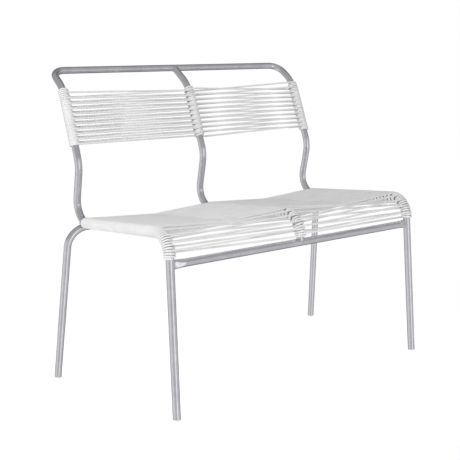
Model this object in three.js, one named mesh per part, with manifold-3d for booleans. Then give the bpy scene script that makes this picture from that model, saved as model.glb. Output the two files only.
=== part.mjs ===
// Garden bench: bent steel tube frame with a laced cord seat and back.
// Millimetres. X is the width, the bench faces -Y, Z is up.
// The origin is on the floor, under the middle of the bench.

import * as THREE from 'three';
import { mergeVertices } from 'three/addons/utils/BufferGeometryUtils.js';
import Module from 'manifold-3d';

const wasm = await Module();
wasm.setup();

// ---- Driving dimensions ----

const TUBE_R = 9.5;         // outer radius of every steel tube
const WALL = 1.5;           // wall of the tubes
const CORD = 5;             // diameter of the lacing cord
const GAP = 0.3;            // clearance between pieces that touch
const LOOP = 3 * CORD;      // one lacing loop lays three turns side by side on a rail

const BACK_HALF = 379;      // middle of the bench to the back post's centre line
const KNEE_HALF = 365;      // the same at the front corner of the seat
const FRONT_FOOT_HALF = 373;
const REAR_FOOT_HALF = 444;
const HOOP_HALF = 416;      // where the rear legs turn in under the seat

// Side view of the side frames and of the middle rail: y, z and bend radius.
const FRONT_FOOT_Y = -264;
const KNEE = { y: -283, z: 434, r: 50 };
const SEAT_REAR = { y: 213, z: 431, r: 50 };
const LUMBAR = { y: 154.5, z: 584, r: 80 };
const NECK = { y: 214.5, z: 785.5, r: 110 };
const TOP = { y: 286, z: 840.5, r: 35 };

const REAR_FOOT_Y = 282;
const HOOP = { y: 172, z: 419.8, r: 55 };
const CROSSBAR_Z = 362;

const SEAT_LOOPS = 31;
const BACK_LOOPS = 10;
const SEAT_START = 35;      // from the middle of the rear bend to the first wrap

const GLIDE_HEIGHT = 6;     // centre of a glide's dome above the floor
const GLIDE_DOME = 6.5;     // depth of the dome
const GLIDE_PLUG = 22;      // length of the plug inside the tube
const TUBE_GAP = 1;         // from the dome's centre up to the end of the tube

const FLAT_LENGTH = 30;     // the crossbar is pressed flat over this length at each end
const FLAT_HEIGHT = 1.18;   // its height and depth there, as parts of the tube's diameter
const FLAT_DEPTH = 0.32;

const TUBE_SIDES = 10;
const FORMED_SIDES = 12;    // of the crossbar and of the shapes that trim the joints
const SLEEVE_SIDES = 10;
const GLIDE_SIDES = 14;
const BEND_STEP = 19 * Math.PI / 180;

// ---- Materials ----

const zinc = (name) => new THREE.MeshStandardMaterial({
  name, color: 0xb9babf, roughness: 0.38, metalness: 0.9,
});
const pvc = (name) => new THREE.MeshStandardMaterial({
  name, color: 0xf1f1ef, roughness: 0.42, metalness: 0,
});
const polythene = (name) => new THREE.MeshStandardMaterial({
  name, color: 0xe4e4de, roughness: 0.5, metalness: 0,
});

// ---- Paths ----

const point = (x, y, z) => new THREE.Vector3(x, y, z);

// A path of stations, each a point with a tangent and its distance along the path.
// ExtrudeGeometry samples it at the stations, so straight runs need no extra steps.
class StationPath extends THREE.Curve {
  constructor(stations) {
    super();
    this.stations = stations;
  }

  get steps() {
    return this.stations.length - 1;
  }

  at(u) {
    const place = Math.min(Math.max(u, 0), 1) * this.steps;
    const i = Math.min(Math.floor(place), this.steps - 1);
    return { a: this.stations[i], b: this.stations[i + 1], k: place - i };
  }

  getPointAt(u, target = new THREE.Vector3()) {
    const { a, b, k } = this.at(u);
    return target.lerpVectors(a.p, b.p, k);
  }

  getTangentAt(u, target = new THREE.Vector3()) {
    const { a, b, k } = this.at(u);
    return target.lerpVectors(a.t, b.t, k).normalize();
  }
}

// Straight runs between corners, each inner corner rounded by an arc of its radius.
// Returns the stations and the distance of the middle of each bend.
function bentPath(corners) {
  const stations = [];
  const bends = [];
  const add = (p, t) => {
    const last = stations[stations.length - 1];
    const s = last ? last.s + last.p.distanceTo(p) : 0;
    stations.push({ p: p.clone(), t: t.clone(), s });
  };
  const direction = (i) => corners[i + 1].p.clone().sub(corners[i].p).normalize();
  add(corners[0].p, direction(0));
  for (let i = 1; i < corners.length - 1; i += 1) {
    const { p, r } = corners[i];
    const d1 = direction(i - 1);
    const d2 = direction(i);
    const turn = d1.angleTo(d2);
    const inward = d2.clone().addScaledVector(d1, -d2.dot(d1)).normalize();
    const start = p.clone().addScaledVector(d1, -r * Math.tan(turn / 2));
    const centre = start.clone().addScaledVector(inward, r);
    const steps = 2 * Math.ceil(turn / BEND_STEP / 2);
    for (let k = 0; k <= steps; k += 1) {
      const a = turn * k / steps;
      const t = d1.clone().multiplyScalar(Math.cos(a)).addScaledVector(inward, Math.sin(a));
      const out = d1.clone().multiplyScalar(Math.sin(a)).addScaledVector(inward, -Math.cos(a));
      add(centre.clone().addScaledVector(out, r), t);
      if (2 * k === steps) bends.push(stations[stations.length - 1].s);
    }
  }
  add(corners[corners.length - 1].p, direction(corners.length - 2));
  return { stations, bends };
}

// The station at a distance along the path.
function stationAt(stations, s) {
  let i = stations.findIndex((station) => station.s >= s);
  if (i < 1) i = i === 0 ? 1 : stations.length - 1;
  const a = stations[i - 1];
  const b = stations[i];
  const k = (s - a.s) / (b.s - a.s);
  return { p: a.p.clone().lerp(b.p, k), t: a.t.clone().lerp(b.t, k).normalize(), s };
}

// The part of a path between two distances.
function cut(stations, from, to) {
  const inner = stations.filter((station) => station.s > from + 1 && station.s < to - 1);
  return [stationAt(stations, from), ...inner, stationAt(stations, to)];
}

// ---- Solids ----

function polygon(radius, sides, target) {
  for (let i = 0; i < sides; i += 1) {
    const a = 2 * Math.PI * i / sides;
    const x = radius * Math.cos(a);
    const y = radius * Math.sin(a);
    if (i === 0) target.moveTo(x, y);
    else target.lineTo(x, y);
  }
  target.closePath();
  return target;
}

// A round bar along a path, or a tube when an inner radius is given.
function barGeometry(stations, radius, sides = TUBE_SIDES, inner = 0) {
  const path = new StationPath(stations);
  const section = polygon(radius, sides, new THREE.Shape());
  if (inner > 0) section.holes.push(polygon(inner, sides, new THREE.Path()));
  return new THREE.ExtrudeGeometry(section, {
    steps: path.steps, extrudePath: path, curveSegments: sides, bevelEnabled: false,
  });
}

function solid(geometry) {
  const bare = geometry.index ? geometry.toNonIndexed() : geometry.clone();
  bare.deleteAttribute('normal');
  bare.deleteAttribute('uv');
  const merged = mergeVertices(bare);
  return new wasm.Manifold(new wasm.Mesh({
    numProp: 3,
    vertProperties: new Float32Array(merged.attributes.position.array),
    triVerts: new Uint32Array(merged.index.array),
  }));
}

function geometryOf(body) {
  const { vertProperties, triVerts } = body.getMesh();
  const geometry = new THREE.BufferGeometry();
  geometry.setAttribute('position', new THREE.BufferAttribute(vertProperties, 3));
  geometry.setIndex(new THREE.BufferAttribute(triVerts, 1));
  const flat = geometry.toNonIndexed();
  flat.computeVertexNormals();
  return flat;
}

const bar = (stations, radius, sides, inner) => solid(barGeometry(stations, radius, sides, inner));
const tube = (stations) => bar(stations, TUBE_R, TUBE_SIDES, TUBE_R - WALL);

// ---- The three tubes' centre lines ----

// Where the axis of a leg leaves the floor, and where its tube ends above the glide.
const alongLeg = (foot, upper) => upper.clone().sub(foot).normalize();
function tubeEnd(foot, upper) {
  const axis = alongLeg(foot, upper);
  return foot.clone().addScaledVector(axis, (GLIDE_HEIGHT + TUBE_GAP) / axis.z);
}

const mirror = ({ x, y, z }) => point(-x, y, z);
const mirrored = (corners) => corners.map(({ p, r }) => ({ p: mirror(p), r }));
const frontFoot = point(-FRONT_FOOT_HALF, FRONT_FOOT_Y, 0);
const knee = point(-KNEE_HALF, KNEE.y, KNEE.z);
const leftSide = [
  { p: tubeEnd(frontFoot, knee) },
  { p: knee, r: KNEE.r },
  { p: point(-BACK_HALF, SEAT_REAR.y, SEAT_REAR.z), r: SEAT_REAR.r },
  { p: point(-BACK_HALF, LUMBAR.y, LUMBAR.z), r: LUMBAR.r },
  { p: point(-BACK_HALF, NECK.y, NECK.z), r: NECK.r },
  { p: point(-BACK_HALF, TOP.y, TOP.z), r: TOP.r },
];
const frame = bentPath([...leftSide, ...mirrored(leftSide).reverse()]);

const legRun = (KNEE.y - FRONT_FOOT_Y) / KNEE.z;
const crossbarY = FRONT_FOOT_Y + legRun * CROSSBAR_Z;
const crossbarHalf = FRONT_FOOT_HALF + (KNEE_HALF - FRONT_FOOT_HALF) * CROSSBAR_Z / KNEE.z;
const middle = bentPath([
  { p: point(0, crossbarY, CROSSBAR_Z) },
  { p: point(0, KNEE.y, KNEE.z), r: KNEE.r },
  { p: point(0, SEAT_REAR.y, SEAT_REAR.z), r: SEAT_REAR.r },
  { p: point(0, LUMBAR.y, LUMBAR.z), r: LUMBAR.r },
  { p: point(0, NECK.y, NECK.z), r: NECK.r },
  { p: point(0, TOP.y, TOP.z) },
]);

const rearFoot = point(-REAR_FOOT_HALF, REAR_FOOT_Y, 0);
const hoopCorner = point(-HOOP_HALF, HOOP.y, HOOP.z);
const leftRearLeg = [{ p: tubeEnd(rearFoot, hoopCorner) }, { p: hoopCorner, r: HOOP.r }];
const hoop = bentPath([...leftRearLeg, ...mirrored(leftRearLeg).reverse()]);

// ---- Steel ----

// A bar that clears a round tube by at least the extra all the way round.
const clearBar = (stations, extra) => (
  bar(stations, (TUBE_R + extra) / Math.cos(Math.PI / FORMED_SIDES), FORMED_SIDES)
);
const frameBar = (extra) => clearBar(frame.stations, extra);
const middleBar = (extra) => clearBar(middle.stations, extra);
const hoopBar = (extra) => clearBar(hoop.stations, extra);

// The crossbar: a straight bar whose section turns from round to a tall flat oval at its ends.
function crossbarGeometry(extra, inner) {
  const half = crossbarHalf;
  const marks = [0, 0.25, 0.5, 0.75, 1].map((part) => part * FLAT_LENGTH);
  const xs = [...marks.map((m) => m - half), ...marks.map((m) => half - m).reverse()];
  const stations = xs.map((x) => ({ p: point(x, 0, 0), t: point(1, 0, 0), s: x + half }));
  const geometry = barGeometry(stations, TUBE_R + extra, FORMED_SIDES, inner);
  const positions = geometry.attributes.position;
  for (let i = 0; i < positions.count; i += 1) {
    const x = positions.getX(i);
    const fromEnd = Math.min(half - Math.abs(x), FLAT_LENGTH) / FLAT_LENGTH;
    const round = fromEnd * fromEnd * (3 - 2 * fromEnd);
    const grow = extra / TUBE_R * (1 - round);
    positions.setY(i, positions.getY(i) * (FLAT_DEPTH + (1 - FLAT_DEPTH) * round + grow));
    positions.setZ(i, positions.getZ(i) * (FLAT_HEIGHT + (1 - FLAT_HEIGHT) * round));
  }
  geometry.translate(0, crossbarY, CROSSBAR_Z);
  return geometry;
}
const crossbarBar = (extra) => solid(crossbarGeometry(extra, 0));

const frameTube = tube(frame.stations);
const middleRail = tube(middle.stations).subtract(frameBar(GAP)).subtract(crossbarBar(GAP));
const rearHoop = tube(hoop.stations);
const crossbar = solid(crossbarGeometry(0, TUBE_R - WALL)).subtract(frameBar(GAP));

// A weld bead is the metal close to both of the tubes that it joins, clear of each by the gap.
function weld(barA, barB, size, box) {
  const near = barA(size).intersect(barB(size)).intersect(box);
  return near.subtract(barA(GAP)).subtract(barB(GAP));
}

function boxAround(centre, half) {
  const geometry = new THREE.BoxGeometry(2 * half, 2 * half, 2 * half);
  geometry.translate(centre.x, centre.y, centre.z);
  return solid(geometry);
}

// A weld is looked for in a box around its joint. At the crossbar's ends the box is smaller
// and a little lower, to keep clear of the seat's lacing.
const BEAD = 2.2;            // how far a bead reaches from the tubes that it joins
const HOOP_BEAD = 1.9;
const WELD_BOX = 24;
const END_BOX = 15.5;
const END_DROP = 3;
const topJoint = boxAround(point(0, TOP.y, TOP.z), WELD_BOX);
const frontJoint = boxAround(middle.stations[0].p, WELD_BOX);
const hoopJoint = (x) => boxAround(point(x, HOOP.y, HOOP.z), WELD_BOX);
const endJoint = (side) => (
  boxAround(point(side * (crossbarHalf - TUBE_R), crossbarY, CROSSBAR_Z - END_DROP), END_BOX)
);
const welds = {
  weld_middle_rail_top: weld(frameBar, middleBar, BEAD, topJoint),
  weld_middle_rail_front: weld(middleBar, crossbarBar, BEAD, frontJoint),
  weld_crossbar_left: weld(frameBar, crossbarBar, BEAD, endJoint(-1)),
  weld_crossbar_right: weld(frameBar, crossbarBar, BEAD, endJoint(1)),
  weld_hoop_left: weld(frameBar, hoopBar, HOOP_BEAD, hoopJoint(-BACK_HALF)),
  weld_hoop_middle: weld(middleBar, hoopBar, HOOP_BEAD, hoopJoint(0)),
  weld_hoop_right: weld(frameBar, hoopBar, HOOP_BEAD, hoopJoint(BACK_HALF)),
};

// ---- Glides ----

// A plug in the tube's end with a domed foot, turned about the leg's axis and cut level
// with the floor.
const DOME_R = TUBE_R + 0.2;
const DOME_STEPS = 6;
const DOME_RIM = TUBE_GAP - GAP;
const PLUG_R = (TUBE_R - WALL) * Math.cos(Math.PI / TUBE_SIDES) - GAP;
const PLUG_CHAMFER = { r: 1.5, h: 2 };

function glideProfile() {
  const profile = [];
  for (let i = 0; i <= DOME_STEPS; i += 1) {
    const a = Math.PI / 2 * i / DOME_STEPS;
    profile.push(new THREE.Vector2(DOME_R * Math.sin(a), -GLIDE_DOME * Math.cos(a)));
  }
  profile.push(new THREE.Vector2(DOME_R, DOME_RIM));
  profile.push(new THREE.Vector2(PLUG_R, DOME_RIM));
  profile.push(new THREE.Vector2(PLUG_R, GLIDE_PLUG - PLUG_CHAMFER.h));
  profile.push(new THREE.Vector2(PLUG_R - PLUG_CHAMFER.r, GLIDE_PLUG));
  profile.push(new THREE.Vector2(0, GLIDE_PLUG));
  return profile;
}

function glide(foot, upper) {
  const geometry = new THREE.LatheGeometry(glideProfile(), GLIDE_SIDES);
  const axis = alongLeg(foot, upper);
  geometry.applyQuaternion(new THREE.Quaternion().setFromUnitVectors(point(0, 1, 0), axis));
  const centre = foot.clone().addScaledVector(axis, GLIDE_HEIGHT / axis.z);
  geometry.translate(centre.x, centre.y, centre.z);
  const floorHalf = 3 * TUBE_R;
  const floor = boxAround(point(foot.x, foot.y, -floorHalf), floorHalf);
  return solid(geometry).subtract(floor);
}

// ---- Lacing ----

// Each lacing is one body: a sleeve of wraps on each rail, and the strands between the rails.
// A strand leaves one side of a rail and reaches the opposite side of the next, so strands
// of one loop cross halfway between the rails.
const SLEEVE_INNER = (TUBE_R + GAP) / Math.cos(Math.PI / SLEEVE_SIDES);
const SLEEVE_OUTER = TUBE_R + CORD;
const STRAND_LEVEL = TUBE_R + CORD / 2;
const STRAND_HALF = 1.5;
const FUSE = 0.02;          // slivers thinner than this are closed up

// How far into its loop each strand meets a rail.
const OUTER_RUN = 2 * CORD;
const UNDER_RUN = 7;
const OVER_RUN = 3;

function strand(from, to) {
  const length = from.distanceTo(to);
  const geometry = new THREE.BoxGeometry(length, 2 * STRAND_HALF, 2 * STRAND_HALF);
  const along = to.clone().sub(from).normalize();
  geometry.applyQuaternion(new THREE.Quaternion().setFromUnitVectors(point(1, 0, 0), along));
  const centre = from.clone().lerp(to, 0.5);
  geometry.translate(centre.x, centre.y, centre.z);
  return solid(geometry);
}

// A point on a rail, the distance below the lacing's start. Side 1 is the face that the
// sitter touches, and -1 is the other face.
function onRail(rail, distance, side) {
  const { p, t } = stationAt(rail.stations, rail.start - distance);
  return p.addScaledVector(point(0, -t.z, t.y).normalize(), side * STRAND_LEVEL);
}

function lacing(rails, loops) {
  const length = loops * LOOP + CORD;
  const parts = rails.map(({ stations, start }) => (
    bar(cut(stations, start - length, start), SLEEVE_OUTER, SLEEVE_SIDES, SLEEVE_INNER)
  ));
  for (let k = 0; k < loops; k += 1) {
    const s = k * LOOP + CORD / 2;
    for (const outer of [rails[0], rails[2]]) {
      parts.push(strand(onRail(outer, s + OUTER_RUN, 1), onRail(rails[1], s + UNDER_RUN, -1)));
      parts.push(strand(onRail(outer, s, -1), onRail(rails[1], s + OVER_RUN, 1)));
    }
  }
  return wasm.Manifold.union(parts).asOriginal().simplify(FUSE);
}

const REAR_BEND = 1;
const NECK_BEND = 3;
const rails = [bentPath(leftSide), middle, bentPath(mirrored(leftSide))];
const below = (bend, offset) => rails.map(({ stations, bends }) => (
  { stations, start: bends[bend] - offset }
));
const seatCord = lacing(below(REAR_BEND, SEAT_START), SEAT_LOOPS);
const backCord = lacing(below(NECK_BEND, 0), BACK_LOOPS);

// ---- The bench ----

const bench = new THREE.Group();
bench.name = 'garden_bench';

function addPiece(name, body, material) {
  const mesh = new THREE.Mesh(geometryOf(body), material);
  mesh.name = name;
  bench.add(mesh);
}

addPiece('outer_frame_tube', frameTube, zinc('frame zinc'));
addPiece('middle_rail', middleRail, zinc('rail zinc'));
addPiece('rear_leg_hoop', rearHoop, zinc('hoop zinc'));
addPiece('front_crossbar', crossbar, zinc('crossbar zinc'));
for (const [name, body] of Object.entries(welds)) addPiece(name, body, zinc('weld zinc'));

const feet = {
  front_left: [frontFoot, knee],
  front_right: [mirror(frontFoot), mirror(knee)],
  rear_left: [rearFoot, hoopCorner],
  rear_right: [mirror(rearFoot), mirror(hoopCorner)],
};
for (const [name, [foot, upper]] of Object.entries(feet)) {
  addPiece(`glide_${name}`, glide(foot, upper), polythene(`glide ${name}`));
}

addPiece('seat_cord', seatCord, pvc('seat cord'));
addPiece('back_cord', backCord, pvc('back cord'));

export default bench;
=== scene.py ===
import math

import bpy
import numpy as np
from mathutils import Matrix, Vector


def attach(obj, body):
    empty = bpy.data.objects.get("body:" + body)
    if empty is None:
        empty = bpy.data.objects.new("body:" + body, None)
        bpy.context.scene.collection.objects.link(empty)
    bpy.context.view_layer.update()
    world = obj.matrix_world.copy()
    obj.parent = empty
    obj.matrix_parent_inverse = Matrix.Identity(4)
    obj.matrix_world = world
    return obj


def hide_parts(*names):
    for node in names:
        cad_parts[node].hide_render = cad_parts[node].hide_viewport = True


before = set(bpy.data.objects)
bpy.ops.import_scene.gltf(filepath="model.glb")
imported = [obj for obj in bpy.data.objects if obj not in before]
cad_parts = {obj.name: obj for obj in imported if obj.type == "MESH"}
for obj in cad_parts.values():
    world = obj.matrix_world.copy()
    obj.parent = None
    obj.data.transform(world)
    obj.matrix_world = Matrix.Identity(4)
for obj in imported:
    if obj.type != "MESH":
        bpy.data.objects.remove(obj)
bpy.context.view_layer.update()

rng = np.random.default_rng(7)

# Garden bench: a bent galvanised tube frame laced with plastic cord.
# Metres. X is the width, the sitter faces -Y, Z is up.

# ---- Driving dimensions, the same as the solid model's ----

TUBE_R = 0.0095
WALL = 0.0015
BACK_HALF = 0.379                      # half widths, from the middle to a tube's centre line
KNEE_HALF = 0.365
FRONT_FOOT_HALF = 0.373
REAR_FOOT_HALF = 0.444
HOOP_HALF = 0.416
FRONT_FOOT_Y = -0.264
REAR_FOOT_Y = 0.282
KNEE = (-0.283, 0.434, 0.050)          # y, z and bend radius of the side view's corners
SEAT_REAR = (0.213, 0.431, 0.050)
LUMBAR = (0.1545, 0.584, 0.080)
NECK = (0.2145, 0.7855, 0.110)
TOP = (0.286, 0.8405, 0.035)
HOOP = (0.172, 0.4198, 0.055)
CROSSBAR_Z = 0.362
FLAT_LENGTH = 0.030                    # the crossbar is pressed flat over this at each end
FLAT_HEIGHT = 1.18                     # its section there, as parts of the tube's diameter
FLAT_DEPTH = 0.32

GLIDE_CENTRE = 0.006                   # centre of a glide's dome above the floor
GLIDE_DOME = 0.0065
GLIDE_PLUG = 0.020
GLIDE_R = TUBE_R + 0.0002
PLUG_R = TUBE_R - WALL - 0.0002        # the plug fits loosely in the bore
TUBE_GAP = 0.001                       # from the dome's centre up to the end of the tube

# Weld beads: the bead's radius, and how many ripples go round the joint.
TOP_BEAD = (0.0015, 17)
FRONT_BEAD = (0.0014, 17)
CROSSBAR_BEAD = (0.0014, 15)
REAR_BEAD = (0.0020, 11)
REAR_BEAD_REACH = 0.0062               # radius of the ring of weld where two tubes cross

ARC_STEP = math.radians(5)             # between the stations of a bend
LIP = 0.0005                           # from an end to the ring that keeps its edge crisp

# ---- Lacing dimensions ----

CORD = 0.0049                          # diameter of the cord
LACE_R = TUBE_R + CORD / 2 + 0.00005   # from a rail's centre to the centre of a turn round it
SEAT_LOOPS = 31
BACK_LOOPS = 10
SEAT_START = 0.037                     # from the middle of the rear bend to the first turn
SEAT_LENGTH = 0.467                    # of rail that the seat's turns cover
BACK_LENGTH = 0.162                    # of rail that the back's turns cover
BEND_SPREAD = 1.10                     # turns lie this much further apart on a bend
TURN_JITTER = 0.03                     # of a turn, how unevenly loops sit along a rail
SEAT_SLACK = 0.00020                   # how far the strands bow from straight
BACK_SLACK = 0.00025
STEPS_A_TURN = 20
STRAND_STEPS = 9

# ---- Studio dimensions ----

FLOOR_R = 0.80
FLOOR_SIDES = 96

CAMERA_PLACE = (-1.2284, -1.9129, 0.6694)
CAMERA_TURN = 0.6188                   # where it looks, in radians from the back to the right
CAMERA_DIP = 0.0949                    # how far it looks down
CAMERA_ROLL = -0.0684
CAMERA_LENS = 65.14                    # focal length in millimetres
CAMERA_SENSOR = 36.0
CAMERA_SHIFT = (-0.100, -0.069)

LIGHTS_AIM = (0.0, 0.0, 0.45)          # what both lights point at

# Brightness of the walls by bearing: 0 and 1 are the front, 0.25 the left, 0.5 the back.
WALLS = [
    (0.0, 1.15), (0.02, 0.95), (0.04, 0.60), (0.138, 0.48), (0.22, 0.74), (0.31, 0.76),
    (0.43, 0.52), (0.52, 0.20), (0.68, 0.20), (0.77, 0.54), (0.945, 0.60), (0.975, 1.15),
]
WALLS_END = (0.05, 0.38)               # heights between which the ceiling takes over, as sines
CEILING = 0.42
DARK_BAND = 0.34                       # how much darker it is high up behind the bench


# ---- Centre lines ----

def unit(vectors):
    return vectors / np.linalg.norm(vectors, axis=-1, keepdims=True)


def rotated(vectors, axis, angles):
    """Vectors turned about a unit axis by each angle (Rodrigues' formula)."""
    c = np.cos(angles)[:, None]
    s = np.sin(angles)[:, None]
    along = (vectors @ axis) * axis
    return along + c * (vectors - along) + s * np.cross(axis, vectors)


class Path:
    """A centre line of straight runs joined by round bends. Each station has a point, a
    tangent, a side vector carried along without twist, and its distance along the line."""

    def __init__(self, corners):
        corner = [np.array(c[:3]) for c in corners]
        heading = [unit(b - a) for a, b in zip(corner, corner[1:])]
        side = np.array([1.0, 0.0, 0.0])
        side = unit(side - (side @ heading[0]) * heading[0])
        lip = np.array([[0.0], [LIP]])
        points = [corner[0] + lip * heading[0]]
        tangents = [np.tile(heading[0], (2, 1))]
        sides = [np.tile(side, (2, 1))]
        arcs = []
        for at, before, after, spec in zip(corner[1:-1], heading, heading[1:], corners[1:-1]):
            radius = spec[3]
            turn = math.acos(np.clip(before @ after, -1, 1))
            axis = unit(np.cross(before, after))
            start = at - radius * math.tan(turn / 2) * before
            centre = start + radius * np.cross(axis, before)
            angles = np.linspace(0, turn, 2 * math.ceil(turn / ARC_STEP / 2) + 1)
            first = sum(len(p) for p in points)
            arcs.append((first, first + len(angles) - 1))
            points.append(centre + rotated(start - centre, axis, angles))
            tangents.append(rotated(before, axis, angles))
            sides.append(rotated(side, axis, angles))
            side = sides[-1][-1]
        points.append(corner[-1] - lip[::-1] * heading[-1])
        tangents.append(np.tile(heading[-1], (2, 1)))
        sides.append(np.tile(side, (2, 1)))
        self.p, self.t, self.side = (np.concatenate(rows) for rows in (points, tangents, sides))
        steps = np.linalg.norm(np.diff(self.p, axis=0), axis=1)
        self.s = np.concatenate([[0.0], np.cumsum(steps)])
        self.arcs = [(self.s[first], self.s[last]) for first, last in arcs]
        self.bends = [(first + last) / 2 for first, last in self.arcs]

    def at(self, s):
        """Point, side and face vector at each distance; the face looks to the sitter's side."""
        p, t, side = (
            np.stack([np.interp(s, self.s, values[:, i]) for i in range(3)], axis=-1)
            for values in (self.p, self.t, self.side)
        )
        t = unit(t)
        face = unit(np.cross(side, t))
        return p, np.cross(t, face), face

    def on_bend(self, s):
        """1 at distances that lie on a bend and 0 on the straight runs."""
        return sum(((s >= first) & (s <= last)).astype(float) for first, last in self.arcs)


def corner_at(x, yz):
    return (x, yz[0], yz[1], yz[2])


def mirrored(corners):
    return [(-c[0],) + tuple(c[1:]) for c in corners]


def tube_foot(x, y, upper):
    """Where a leg's tube ends, just above the middle of its glide."""
    end = GLIDE_CENTRE + TUBE_GAP
    rise = end / upper[2]
    return (x + (upper[0] - x) * rise, y + (upper[1] - y) * rise, end)


def side_corners(half, knee_half, foot):
    return [
        foot, corner_at(knee_half, KNEE), corner_at(half, SEAT_REAR), corner_at(half, LUMBAR),
        corner_at(half, NECK), corner_at(half, TOP),
    ]


left_knee = corner_at(-KNEE_HALF, KNEE)
left_foot = tube_foot(-FRONT_FOOT_HALF, FRONT_FOOT_Y, left_knee)
left_side = side_corners(-BACK_HALF, -KNEE_HALF, left_foot)
frame_path = Path(left_side + mirrored(left_side)[::-1])
left_rail = Path(left_side)
right_rail = Path(mirrored(left_side))

crossbar_y = FRONT_FOOT_Y + (KNEE[0] - FRONT_FOOT_Y) * CROSSBAR_Z / KNEE[1]
crossbar_half = FRONT_FOOT_HALF + (KNEE_HALF - FRONT_FOOT_HALF) * CROSSBAR_Z / KNEE[1]
middle_rail = Path(side_corners(0.0, 0.0, (0.0, crossbar_y, CROSSBAR_Z)))

hoop_corner = corner_at(-HOOP_HALF, HOOP)
rear_leg = [tube_foot(-REAR_FOOT_HALF, REAR_FOOT_Y, hoop_corner), hoop_corner]
hoop_path = Path(rear_leg + mirrored(rear_leg)[::-1])


# ---- Surfaces ----

def along_cord_uv(mesh, rows, columns, along, around):
    """A UV map on the quads of a grid: U is the distance round the section, as column over
    columns times the whole way round, and V is the distance along at each row."""
    row = np.repeat(np.arange(rows - 1), columns)
    column = np.tile(np.arange(columns), rows - 1)
    corner_row = np.stack([row, row, row + 1, row + 1], axis=-1)
    corner_column = np.stack([column, column + 1, column + 1, column], axis=-1)
    uv = np.zeros((len(mesh.loops), 2))
    uv[:corner_row.size, 0] = (corner_column / columns * around).ravel()
    uv[:corner_row.size, 1] = along[corner_row.ravel()]
    mesh.uv_layers.new(name="along_cord").data.foreach_set("uv", uv.ravel())


def grid_piece(name, points, close_along=False, caps=False):
    """A piece from a grid of points, rows along it and columns round it. Columns always close
    on themselves; rows close on themselves or end in a flat cap."""
    rows, columns = points.shape[:2]
    index = np.arange(rows * columns).reshape(rows, columns)
    right = np.roll(index, -1, axis=1)
    up = np.roll(index, -1, axis=0)
    quads = np.stack([index, right, np.roll(up, -1, axis=1), up], axis=-1)
    faces = (quads if close_along else quads[:-1]).reshape(-1, 4).tolist()
    if caps:
        faces += [index[0][::-1].tolist(), index[-1].tolist()]
    mesh = bpy.data.meshes.new(name)
    mesh.from_pydata(points.reshape(-1, 3), [], faces)
    mesh.polygons.foreach_set("use_smooth", np.ones(len(mesh.polygons), dtype=bool))
    mesh.update()
    piece = bpy.data.objects.new(name, mesh)
    bpy.context.scene.collection.objects.link(piece)
    return piece


def circle_round(p, first, second, radius, sides):
    """Rings of points: each centre plus the radius times cos and sin of the angle along its
    two cross vectors."""
    angle = np.linspace(0, 2 * math.pi, sides, endpoint=False)[None, :, None]
    spread = np.cos(angle) * first[:, None] + np.sin(angle) * second[:, None]
    return p[:, None] + np.broadcast_to(radius, (len(p),))[:, None, None] * spread


def tube_piece(name, path, sides=28):
    """A round tube: the outer skin along the path, then the bore back again."""
    second = np.cross(path.t, path.side)
    outer = circle_round(path.p, path.side, second, TUBE_R, sides)
    bore = circle_round(path.p, path.side, second, TUBE_R - WALL, sides)
    return grid_piece(name, np.concatenate([outer, bore[::-1]]), close_along=True)


CROSSBAR_SINK = 0.0006                 # how far its ends reach past the legs' skin
CRIMP_STATIONS = 15


def crossbar_piece(name, sides=40):
    """A tube whose section goes from round to a tall flat oval at both ends, its depth and
    height both eased by 3f^2 - 2f^3 of the distance f from the end."""
    reach = crossbar_half - TUBE_R + CROSSBAR_SINK
    ramp = np.linspace(0, FLAT_LENGTH, CRIMP_STATIONS)
    x = np.concatenate([ramp - reach, (reach - ramp)[::-1]])
    from_end = np.clip((reach - np.abs(x)) / FLAT_LENGTH, 0, 1)
    roundness = from_end ** 2 * (3 - 2 * from_end)
    depth = FLAT_DEPTH + (1 - FLAT_DEPTH) * roundness
    height = FLAT_HEIGHT + (1 - FLAT_HEIGHT) * roundness
    p = np.stack([x, np.full_like(x, crossbar_y), np.full_like(x, CROSSBAR_Z)], axis=-1)
    back = np.array([0.0, 1.0, 0.0]) * depth[:, None]
    up = np.array([0.0, 0.0, 1.0]) * height[:, None]
    outer = circle_round(p, back, up, TUBE_R, sides)
    bore = circle_round(p, back, up, TUBE_R - WALL, sides)
    return grid_piece(name, np.concatenate([outer, bore[::-1]]), close_along=True)


RIPPLE = 0.13                          # height of the ripples, of the bead's radius
SWELL = 0.07                           # of the uneven filling, the same way


def bead_piece(name, path, radius, ripples, sides=10):
    """A weld bead: a closed ring of circles. The radius is swollen by a sine wave for the
    ripples that the welder leaves and by a slow one for uneven filling."""
    ahead = unit(np.roll(path, -1, axis=0) - np.roll(path, 1, axis=0))
    out = unit(path - path.mean(axis=0))
    first = unit(out - (out * ahead).sum(axis=1, keepdims=True) * ahead)
    turn = np.linspace(0, 2 * math.pi, len(path), endpoint=False)
    wavy = radius * (1 + RIPPLE * np.sin(ripples * turn) + SWELL * np.sin(3 * turn + 1))
    rings = circle_round(path, first, np.cross(ahead, first), wavy, sides)
    return grid_piece(name, rings, close_along=True)


SADDLE_FLOOR = 0.12                    # least distance from the crossed tube's axis, in radii


def saddle(centre, into, half_width=TUBE_R, half_height=TUBE_R, up=(0.0, 0.0, 1.0), count=96):
    """The line where a round or oval tube meets a round tube across it. It is the first tube's
    outline, drawn back along its own direction until it lies on the second tube's skin: by the
    root of the radius squared less the sideways distance squared. Up is along the second tube."""
    into = np.array(into)
    up = np.array(up)
    across = np.cross(into, up)
    angle = np.linspace(0, 2 * math.pi, count, endpoint=False)
    sideways = half_width * np.sin(angle)
    back = np.sqrt(np.maximum(TUBE_R ** 2 - sideways ** 2, (SADDLE_FLOOR * TUBE_R) ** 2))
    height = half_height * np.cos(angle)
    return (
        np.array(centre) - back[:, None] * into
        + sideways[:, None] * across + height[:, None] * up
    )


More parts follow.
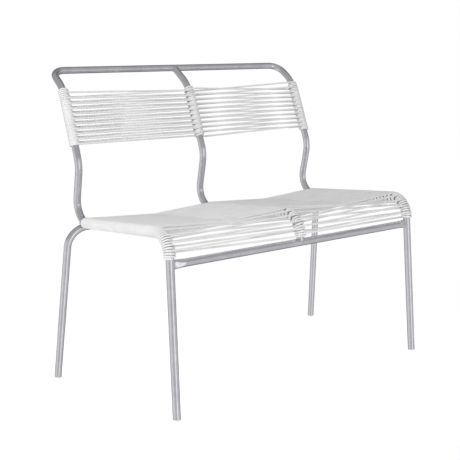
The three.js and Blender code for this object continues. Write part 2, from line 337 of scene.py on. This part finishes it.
def crossing(centre, along_a, along_b, between, reach=REAR_BEAD_REACH, count=72):
    """A ring round the spot where two crossed tubes touch, halfway between their skins: each
    skin drops by the radius less the root of the radius squared less the offset squared."""
    angle = np.linspace(0, 2 * math.pi, count, endpoint=False)
    a = reach * np.cos(angle)
    b = reach * np.sin(angle)
    rise = (np.sqrt(TUBE_R ** 2 - b ** 2) - np.sqrt(TUBE_R ** 2 - a ** 2)) / 2
    return (
        np.array(centre) + a[:, None] * np.array(along_a)
        + b[:, None] * np.array(along_b) + rise[:, None] * np.array(between)
    )


def glide_piece(name, foot, upper, sides=32):
    """A domed foot turned about the leg's axis, with a ring above the dome and a plug that goes
    up the tube. The dome is a quarter ellipse: radius times sin and depth times cos of an angle.
    Anything below the floor is pressed level with it."""
    foot = np.array(foot)
    axis = unit(np.array(upper) - foot)
    first = unit(np.cross(axis, [0.0, 1.0, 0.0]))
    dome = np.linspace(0, math.pi / 2, 9)[1:]
    rim, shoulder = 0.4 * TUBE_GAP, 0.8 * TUBE_GAP
    radius = np.concatenate([GLIDE_R * np.sin(dome), [GLIDE_R, TUBE_R - rim, PLUG_R, PLUG_R]])
    height = np.concatenate([-GLIDE_DOME * np.cos(dome), [rim, shoulder, shoulder, GLIDE_PLUG]])
    centre = foot + (GLIDE_CENTRE / axis[2]) * axis + height[:, None] * axis
    stations = len(radius)
    second = np.cross(axis, first)
    rings = circle_round(
        centre, np.tile(first, (stations, 1)), np.tile(second, (stations, 1)), radius, sides,
    )
    rings[..., 2] = np.maximum(rings[..., 2], 0.0)
    return grid_piece(name, rings, caps=True)


# ---- Lacing ----

LACE_SAMPLES = 1200


class Lace:
    """Where turns lie on one rail: turn number to distance along the rail. Turns lie close on
    straight runs and are spread on bends."""

    def __init__(self, rail, start, length, turns):
        self.rail = rail
        s = start - np.linspace(0, length, LACE_SAMPLES)
        density = 1 / (1 + (BEND_SPREAD - 1) * rail.on_bend(s))
        count = np.concatenate([[0], np.cumsum((density[1:] + density[:-1]) / 2)])
        self.count = count / count[-1] * turns
        self.s = s

    def place(self, turn, angle):
        """Points at a turn number and at an angle round the rail from its face, and the
        direction out of the rail there."""
        p, side, face = self.rail.at(np.interp(turn, self.count, self.s))
        out = np.cos(angle)[..., None] * face + np.sin(angle)[..., None] * side
        return p + LACE_R * out, out


def turns_round(lace, loop, first, turns, angle, sense, lean, sign):
    """Turns side by side round a rail, for every loop at once: the angle grows evenly with the
    turn number. They start and end a little past the face, where the strands leave tangent.
    Sense is 1 one way round the rail and -1 the other."""
    f = np.linspace(0, 1, round(turns * STEPS_A_TURN) + 1)
    sweep = 2 * math.pi * turns + 2 * lean
    turn = 3 * loop[:, None] + first + turns * f + rng.normal(0, TURN_JITTER, (len(loop), 1))
    around = np.broadcast_to(angle - sense * lean + sense * sweep * f, turn.shape)
    p, out = lace.place(turn, around)
    return p, sign * out


def strands(before, after, slack):
    """Nearly straight runs from the end of one set of turns to the start of the next: the way
    between them in even parts, bowed by half a sine wave of each strand's own small height."""
    f = np.linspace(0, 1, STRAND_STEPS + 2)[1:-1][None, :, None]
    (p0, out0), (p1, out1) = before, after
    p = p0[:, -1:] * (1 - f) + p1[:, :1] * f
    out = out0[:, -1:] * (1 - f) + out1[:, :1] * f
    bow = rng.normal(0, slack, (len(p), 1, 3)) * [0.2, 1.0, 1.0]
    return p + np.sin(math.pi * f) * bow, out


def laced_path(left, middle, right, loops, slack, last_legs):
    """The cord's centre line. Each loop goes two and a half turns round the left rail, over
    its top and under the middle rail with a turn there, over and two and a half turns round
    the right rail, then back under it and over the middle rail with another turn. The last
    loop stops after the given number of its eight legs."""
    loop = np.arange(loops)
    lean = 2 * LACE_R / BACK_HALF
    top, bottom = 0.0, math.pi
    left_turns = turns_round(left, loop, 0.0, 2.5, bottom, 1, lean, 1)
    going = turns_round(middle, loop, 1.5, 1.0, bottom, -1, lean, -1)
    right_turns = turns_round(right, loop, 1.5, 2.5, top, 1, lean, 1)
    coming = turns_round(middle, loop, 3.0, 1.0, top, -1, lean, -1)
    following = tuple(np.roll(part, -1, axis=0) for part in left_turns)
    legs = [
        left_turns, strands(left_turns, going, slack),
        going, strands(going, right_turns, slack),
        right_turns, strands(right_turns, coming, slack),
        coming, strands(coming, following, slack),
    ]
    p = np.concatenate([leg[0] for leg in legs], axis=1).reshape(-1, 3)
    out = np.concatenate([leg[1] for leg in legs], axis=1).reshape(-1, 3)
    keep = len(p) - sum(leg[0].shape[1] for leg in legs[last_legs:])
    return p[:keep], out[:keep]


def cord_piece(name, path, out, sides=10):
    """A round cord: circles along its centre line, each across the line's direction there and
    turned to keep one edge outward. Its UV map is in metres, round the cord and along it."""
    ahead = unit(np.gradient(path, axis=0))
    first = unit(out - (out * ahead).sum(axis=1, keepdims=True) * ahead)
    rings = circle_round(path, first, np.cross(ahead, first), CORD / 2, sides)
    steps = np.linalg.norm(np.diff(path, axis=0), axis=1)
    along = np.concatenate([[0.0], np.cumsum(steps)])
    piece = grid_piece(name, rings, caps=True)
    along_cord_uv(piece.data, len(path), sides, along, math.pi * CORD)
    return piece


# ---- Finishes ----

class Value:
    """A number that varies over a surface. Arithmetic on it adds Math nodes."""

    def __init__(self, finish, socket):
        self.finish = finish
        self.socket = socket

    def _math(self, operation, first, second):
        return self.finish.node("ShaderNodeMath", {"operation": operation}, {0: first, 1: second})

    def __add__(self, other):
        return self._math("ADD", self, other)

    def __sub__(self, other):
        return self._math("SUBTRACT", self, other)

    def __rsub__(self, other):
        return self._math("SUBTRACT", other, self)

    def __mul__(self, other):
        return self._math("MULTIPLY", self, other)

    __radd__ = __add__
    __rmul__ = __mul__


class Nodes:
    """A node tree, with one method that makes any node."""

    def __init__(self, tree):
        self.nodes = tree.nodes
        self.links = tree.links

    def node(self, kind, settings=None, inputs=None, output=0):
        """Any node: its settings first, then the values or links of its sockets."""
        made = self.nodes.new(kind)
        for key, value in (settings or {}).items():
            if key == "stops":
                ramp = made.color_ramp
                while len(ramp.elements) < len(value):
                    ramp.elements.new(0.5)
                for element, (position, colour) in zip(ramp.elements, value):
                    element.position = position
                    element.color = (*colour, 1.0)
            else:
                setattr(made, key, value)
        for key, value in (inputs or {}).items():
            if isinstance(value, Value):
                self.links.new(value.socket, made.inputs[key])
            else:
                made.inputs[key].default_value = value
        return Value(self, made.outputs[output])


class Finish(Nodes):
    """A material under construction: a Principled shader and the nodes that feed it."""

    def __init__(self, name, **constants):
        self.material = bpy.data.materials.new(name)
        self.material.use_nodes = True
        super().__init__(self.material.node_tree)
        self.shader = self.nodes["Principled BSDF"]
        for socket, value in constants.items():
            self.shader.inputs[socket.replace("_", " ")].default_value = value

    def places(self):
        return self.node("ShaderNodeTexCoord", output="Object")

    def noise(self, place, scale, detail=2.0, roughness=0.5):
        return self.node(
            "ShaderNodeTexNoise", {},
            {"Vector": place, "Scale": scale, "Detail": detail, "Roughness": roughness},
        )

    def clamped(self, value, low, high, to_low=0.0, to_high=1.0):
        """A value's range from low to high stretched to another, and held at its ends."""
        return self.node(
            "ShaderNodeMapRange", {"clamp": True},
            {"Value": value, "From Min": low, "From Max": high, "To Min": to_low, "To Max": to_high},
        )

    def blend(self, factor, first, second):
        """A colour between two, by a factor from 0 to 1."""
        colours = {6: (*first, 1.0), 7: (*second, 1.0)}
        return self.node("ShaderNodeMix", {"data_type": "RGBA"}, {0: factor, **colours}, output=2)

    def feed(self, socket, value):
        self.links.new(value.socket, self.shader.inputs[socket])

    def bump(self, height, distance, strength):
        inputs = {"Height": height, "Distance": distance, "Strength": strength}
        self.feed("Normal", self.node("ShaderNodeBump", {}, inputs))


def galvanised_finish(name, light, dark, rough_low, rough_high, grain):
    """Zinc-coated steel: pale grey with soft mottled spangles and fine grain. The tone and the
    gloss are weighted sums of a warp noise, a cell pattern and a finer noise."""
    finish = Finish(name, Metallic=1.0)
    place = finish.places()
    warp = finish.noise(place, 60.0, 3.0)
    spangle = finish.node(
        "ShaderNodeTexVoronoi", {"feature": "F1"},
        {"Vector": place, "Scale": 140.0, "Randomness": 1.0}, output="Color",
    )
    cells = finish.node("ShaderNodeSeparateColor", {}, {0: spangle})
    mottle = finish.noise(place, 22.0, 4.0, 0.62)
    fine = finish.noise(place, 300.0, 2.0)
    tone = finish.clamped(mottle * 0.62 + cells * 0.16 + warp * 0.30, 0.34, 0.74)
    gloss = warp * 0.6 + cells * 0.25 + fine * 0.2
    finish.feed("Base Color", finish.blend(tone, dark, light))
    finish.feed("Roughness", finish.clamped(gloss, 0.3, 0.8, rough_low, rough_high))
    finish.bump(fine * 0.35 + mottle * 0.5 + cells * 0.12, grain, 0.15)
    return finish.material


def cord_finish():
    """White solid plastic cord: satin, with a faint extrusion grain along it and slight
    soiling that comes and goes. The grain's noise is stretched along the cord's UV map."""
    finish = Finish("white plastic cord")
    place = finish.node("ShaderNodeUVMap", {"uv_map": "along_cord"})
    streaks = finish.node("ShaderNodeMapping", {}, {"Vector": place, "Scale": (1600.0, 24.0, 1.0)})
    grain = finish.noise(streaks, 1.0, 2.0)
    soil = finish.noise(finish.places(), 18.0, 3.0)
    tone = finish.clamped(soil * 0.8 + grain * 0.2, 0.35, 0.7)
    finish.feed("Base Color", finish.blend(tone, (0.80, 0.80, 0.81), (0.875, 0.875, 0.87)))
    finish.feed("Roughness", finish.clamped(grain * 0.5 + soil * 0.5, 0.3, 0.7, 0.34, 0.48))
    finish.bump(grain, 0.00002, 0.4)
    return finish.material


def glide_finish():
    """Pale translucent polythene, scuffed towards the floor."""
    finish = Finish(
        "milky polythene", Specular_IOR_Level=0.45, Subsurface_Weight=0.35,
        Subsurface_Radius=(0.006, 0.006, 0.005),
    )
    place = finish.places()
    height = finish.node("ShaderNodeSeparateXYZ", {}, {0: place}, output="Z")
    scuff = finish.noise(place, 350.0, 3.0)
    low = finish.clamped(height, 0.0, 0.006, 1.0, 0.0)
    finish.feed("Base Color", finish.blend(low * scuff, (0.80, 0.80, 0.78), (0.62, 0.62, 0.60)))
    finish.feed("Roughness", finish.clamped(low * 0.5 + scuff * 0.5, 0.2, 0.8, 0.38, 0.62))
    finish.bump(scuff, 0.0001, 0.4)
    return finish.material


zinc = galvanised_finish(
    "galvanised tube", light=(0.84, 0.83, 0.875), dark=(0.70, 0.69, 0.74),
    rough_low=0.13, rough_high=0.24, grain=0.00003,
)
bead_zinc = galvanised_finish(
    "galvanised weld", light=(0.74, 0.74, 0.76), dark=(0.56, 0.56, 0.58),
    rough_low=0.34, rough_high=0.50, grain=0.0002,
)
cord_white = cord_finish()
milky = glide_finish()


def finished(piece, material, slot, *nodes):
    """The piece's finish, the body that it rides on, and the solids that it stands for."""
    piece.data.materials.append(material)
    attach(piece, "root")
    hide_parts(*nodes)


# ---- Steel ----

finished(tube_piece("frame_tube", frame_path), zinc, "steel_tube", "outer_frame_tube")
finished(tube_piece("centre_rail", middle_rail), zinc, "steel_tube", "middle_rail")
finished(tube_piece("rear_legs", hoop_path), zinc, "steel_tube", "rear_leg_hoop")
finished(crossbar_piece("crossbar"), zinc, "steel_tube", "front_crossbar")


def weld(name, path, bead, node):
    """A finished bead along a joint, given as its radius and its number of ripples."""
    finished(bead_piece(name, path, *bead), bead_zinc, "weld_bead", node)


# The middle rail's two ends, up into the top rail and down onto the crossbar.
top_rise = unit(np.array([0.0, TOP[0] - NECK[0], TOP[1] - NECK[1]]))
leg_rise = unit(np.array([0.0, KNEE[0] - FRONT_FOOT_Y, KNEE[1]]))
top_joint = saddle((0.0, TOP[0], TOP[1]), top_rise, up=(1.0, 0.0, 0.0))
front_joint = saddle((0.0, crossbar_y, CROSSBAR_Z), -leg_rise, up=(1.0, 0.0, 0.0))
weld("top_weld", top_joint, TOP_BEAD, "weld_middle_rail_top")
weld("front_weld", front_joint, FRONT_BEAD, "weld_middle_rail_front")

# The crossbar's two flattened ends, against the front legs.
for word, way in (("left", -1), ("right", 1)):
    joint = saddle(
        (way * crossbar_half, crossbar_y, CROSSBAR_Z), (way, 0.0, 0.0),
        half_width=TUBE_R * FLAT_DEPTH, half_height=TUBE_R * FLAT_HEIGHT,
    )
    weld(f"crossbar_weld_{word}", joint, CROSSBAR_BEAD, f"weld_crossbar_{word}")

# The run across of the rear legs, where the three rails rest on it.
for word, x in (("left", -BACK_HALF), ("middle", 0.0), ("right", BACK_HALF)):
    run = np.array([x, HOOP[0], HOOP[1]])
    rail = middle_rail.p + [x, 0.0, 0.0]
    nearest = np.argmin(np.linalg.norm(rail - run, axis=1))
    between = unit(rail[nearest] - run)
    centre = (rail[nearest] + run) / 2
    ring = crossing(centre, (1.0, 0.0, 0.0), middle_rail.t[nearest], between)
    weld(f"rear_weld_{word}", ring, REAR_BEAD, f"weld_hoop_{word}")

# ---- Glides ----

for word, way in (("left", -1), ("right", 1)):
    foot = (way * FRONT_FOOT_HALF, FRONT_FOOT_Y, 0.0)
    knee = (way * KNEE_HALF, KNEE[0], KNEE[1])
    front = glide_piece(f"front_glide_{word}", foot, knee)
    finished(front, milky, "glide_plastic", f"glide_front_{word}")
    foot = (way * REAR_FOOT_HALF, REAR_FOOT_Y, 0.0)
    corner = (way * HOOP_HALF, HOOP[0], HOOP[1])
    rear = glide_piece(f"rear_glide_{word}", foot, corner)
    finished(rear, milky, "glide_plastic", f"glide_rear_{word}")

# ---- Cords ----

RAILS = (left_rail, middle_rail, right_rail)
REAR_BEND = 1                          # of a rail's four bends, counted from 0 at the knee
NECK_BEND = 3


def laces(starts, length, turns):
    """How the turns lie on the left, middle and right rail, from each rail's start down."""
    return [Lace(rail, start, length, count) for rail, start, count in zip(RAILS, starts, turns)]


# The seat's cord ends with the left rail's turns of a last, part loop. Its turns cover the
# same length on all three rails, so they lie a little closer on the left one.
seat_starts = [rail.bends[REAR_BEND] - SEAT_START for rail in RAILS]
seat_turns = [3 * SEAT_LOOPS + extra for extra in (2.5, 1.3, 1.3)]
seat_laces = laces(seat_starts, SEAT_LENGTH, seat_turns)
seat_path = laced_path(*seat_laces, SEAT_LOOPS + 1, SEAT_SLACK, 1)
finished(cord_piece("seat_lacing", *seat_path), cord_white, "lacing_cord", "seat_cord")

# The back's cord ends after the right rail's turns of its last loop.
back_starts = [rail.bends[NECK_BEND] for rail in RAILS]
back_turns = [3 * BACK_LOOPS + 4] * 3
back_laces = laces(back_starts, BACK_LENGTH, back_turns)
back_path = laced_path(*back_laces, BACK_LOOPS + 1, BACK_SLACK, 5)
finished(cord_piece("back_lacing", *back_path), cord_white, "lacing_cord", "back_cord")

# ---- Stage ----

def stage_floor():
    """A round pale floor, wider than the bench, that the steel doesn't mirror."""
    angle = np.linspace(0, 2 * math.pi, FLOOR_SIDES, endpoint=False)
    ring = FLOOR_R * np.stack([np.cos(angle), np.sin(angle), 0 * angle], axis=-1)
    mesh = bpy.data.meshes.new("floor")
    mesh.from_pydata(ring, [], [list(range(FLOOR_SIDES))])
    floor = bpy.data.objects.new("floor", mesh)
    bpy.context.scene.collection.objects.link(floor)
    finish = Finish(
        "pale floor", Roughness=0.9, Base_Color=(0.80, 0.80, 0.80, 1.0), Specular_IOR_Level=0.1,
        Emission_Color=(1.0, 1.0, 1.0, 1.0), Emission_Strength=0.66,
    )
    mesh.materials.append(finish.material)
    floor.visible_glossy = False


def area_light(name, place, size, power):
    """A soft light that falls on the bench and doesn't show as a shape in the steel."""
    data = bpy.data.lights.new(name, "AREA")
    data.shape = "RECTANGLE"
    data.size, data.size_y = size
    data.energy = power
    lamp = bpy.data.objects.new(name, data)
    bpy.context.scene.collection.objects.link(lamp)
    lamp.location = place
    lamp.visible_glossy = False
    lamp.rotation_euler = (Vector(LIGHTS_AIM) - Vector(place)).to_track_quat("-Z", "Y").to_euler()


def studio():
    """A room seen as plain white, with soft grey walls in reflections and on the bench, a
    dimmer ceiling, dark behind the bench, a broad light at the left and a weak one in front."""
    world = bpy.data.worlds.new("studio")
    bpy.context.scene.world = world
    world.use_nodes = True
    room = Nodes(world.node_tree)
    direction = room.node("ShaderNodeTexCoord", output="Generated")
    x, y, z = (room.node("ShaderNodeSeparateXYZ", {}, {0: direction}, output=axis) for axis in "XYZ")
    bearing = room.node("ShaderNodeMath", {"operation": "ARCTAN2"}, {0: x, 1: y})
    stops = [(place, (grey, grey, grey)) for place, grey in WALLS]
    walls = room.node("ShaderNodeValToRGB", {"stops": stops}, {0: bearing * (0.5 / math.pi) + 0.5})
    behind = x * math.sin(CAMERA_TURN) + y * math.cos(CAMERA_TURN)
    far_side = room.node("ShaderNodeMath", {"operation": "MAXIMUM"}, {0: behind, 1: 0.0})
    high = CEILING - far_side * DARK_BAND
    lift = room.node(
        "ShaderNodeMapRange", {"interpolation_type": "SMOOTHSTEP"},
        {"Value": z, "From Min": WALLS_END[0], "From Max": WALLS_END[1]},
    )
    light = walls * (1.0 - lift) + high * lift
    seen = room.node("ShaderNodeLightPath", output="Is Camera Ray")
    strength = light * (1.0 - seen) + seen
    background = room.nodes["Background"].inputs
    background["Color"].default_value = (1.0, 1.0, 1.0, 1.0)
    room.links.new(strength.socket, background["Strength"])
    area_light("key", place=(-2.6, -1.2, 2.2), size=(1.4, 1.8), power=53.0)
    area_light("fill", place=(-0.6, -3.0, 1.3), size=(1.6, 1.6), power=14.0)


def camera():
    """The camera at the front left, just above the seat and rolled a little."""
    flat = math.cos(CAMERA_DIP)
    ahead = Vector((
        math.sin(CAMERA_TURN) * flat, math.cos(CAMERA_TURN) * flat, -math.sin(CAMERA_DIP),
    ))
    level = ahead.cross(Vector((0, 0, 1))).normalized()
    rise = level.cross(ahead)
    right = math.cos(CAMERA_ROLL) * level + math.sin(CAMERA_ROLL) * rise
    up = math.cos(CAMERA_ROLL) * rise - math.sin(CAMERA_ROLL) * level
    data = bpy.data.cameras.new("camera")
    data.sensor_width = CAMERA_SENSOR
    data.lens = CAMERA_LENS
    data.shift_x, data.shift_y = CAMERA_SHIFT
    made = bpy.data.objects.new("camera", data)
    turned = Matrix((right, up, -ahead)).transposed().to_4x4()
    made.matrix_world = Matrix.Translation(CAMERA_PLACE) @ turned
    bpy.context.scene.collection.objects.link(made)
    bpy.context.scene.camera = made


stage_floor()
studio()
camera()
bpy.context.scene.view_settings.view_transform = "Standard"
